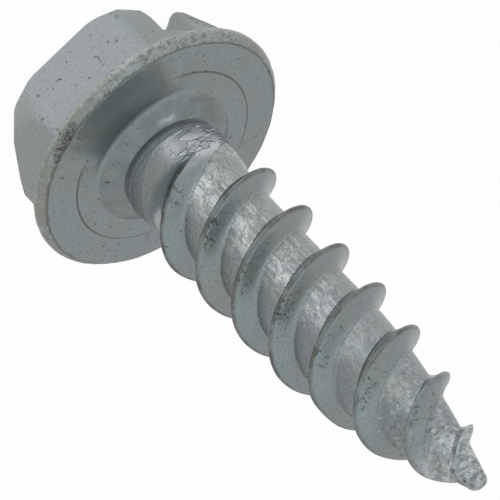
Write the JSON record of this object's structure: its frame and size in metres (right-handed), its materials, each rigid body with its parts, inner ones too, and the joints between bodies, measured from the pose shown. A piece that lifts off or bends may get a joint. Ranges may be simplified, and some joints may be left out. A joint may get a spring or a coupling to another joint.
{
  "type": "self-piercing screw",
  "caption": "Self-piercing sheet-metal screw with a slotted hex washer head, a plain neck, a coarse steep right-hand thread and a sharp point, in worn zinc-plated steel.",
  "frame": {"origin": "centre of the top face of the head, on the screw's axis; the screw stands on its head", "axes": "+Z along the axis from the head to the point; the hex has flats that face +Y and -Y"},
  "size_m": [0.0098, 0.0098, 0.0217],
  "materials": {
    "zinc_plated_steel": "dull, specked zinc plating over cold-formed steel, burnished in the thread roots"
  },
  "bodies": {
    "root": {"screw": "zinc_plated_steel"}
  },
  "joints": []
}
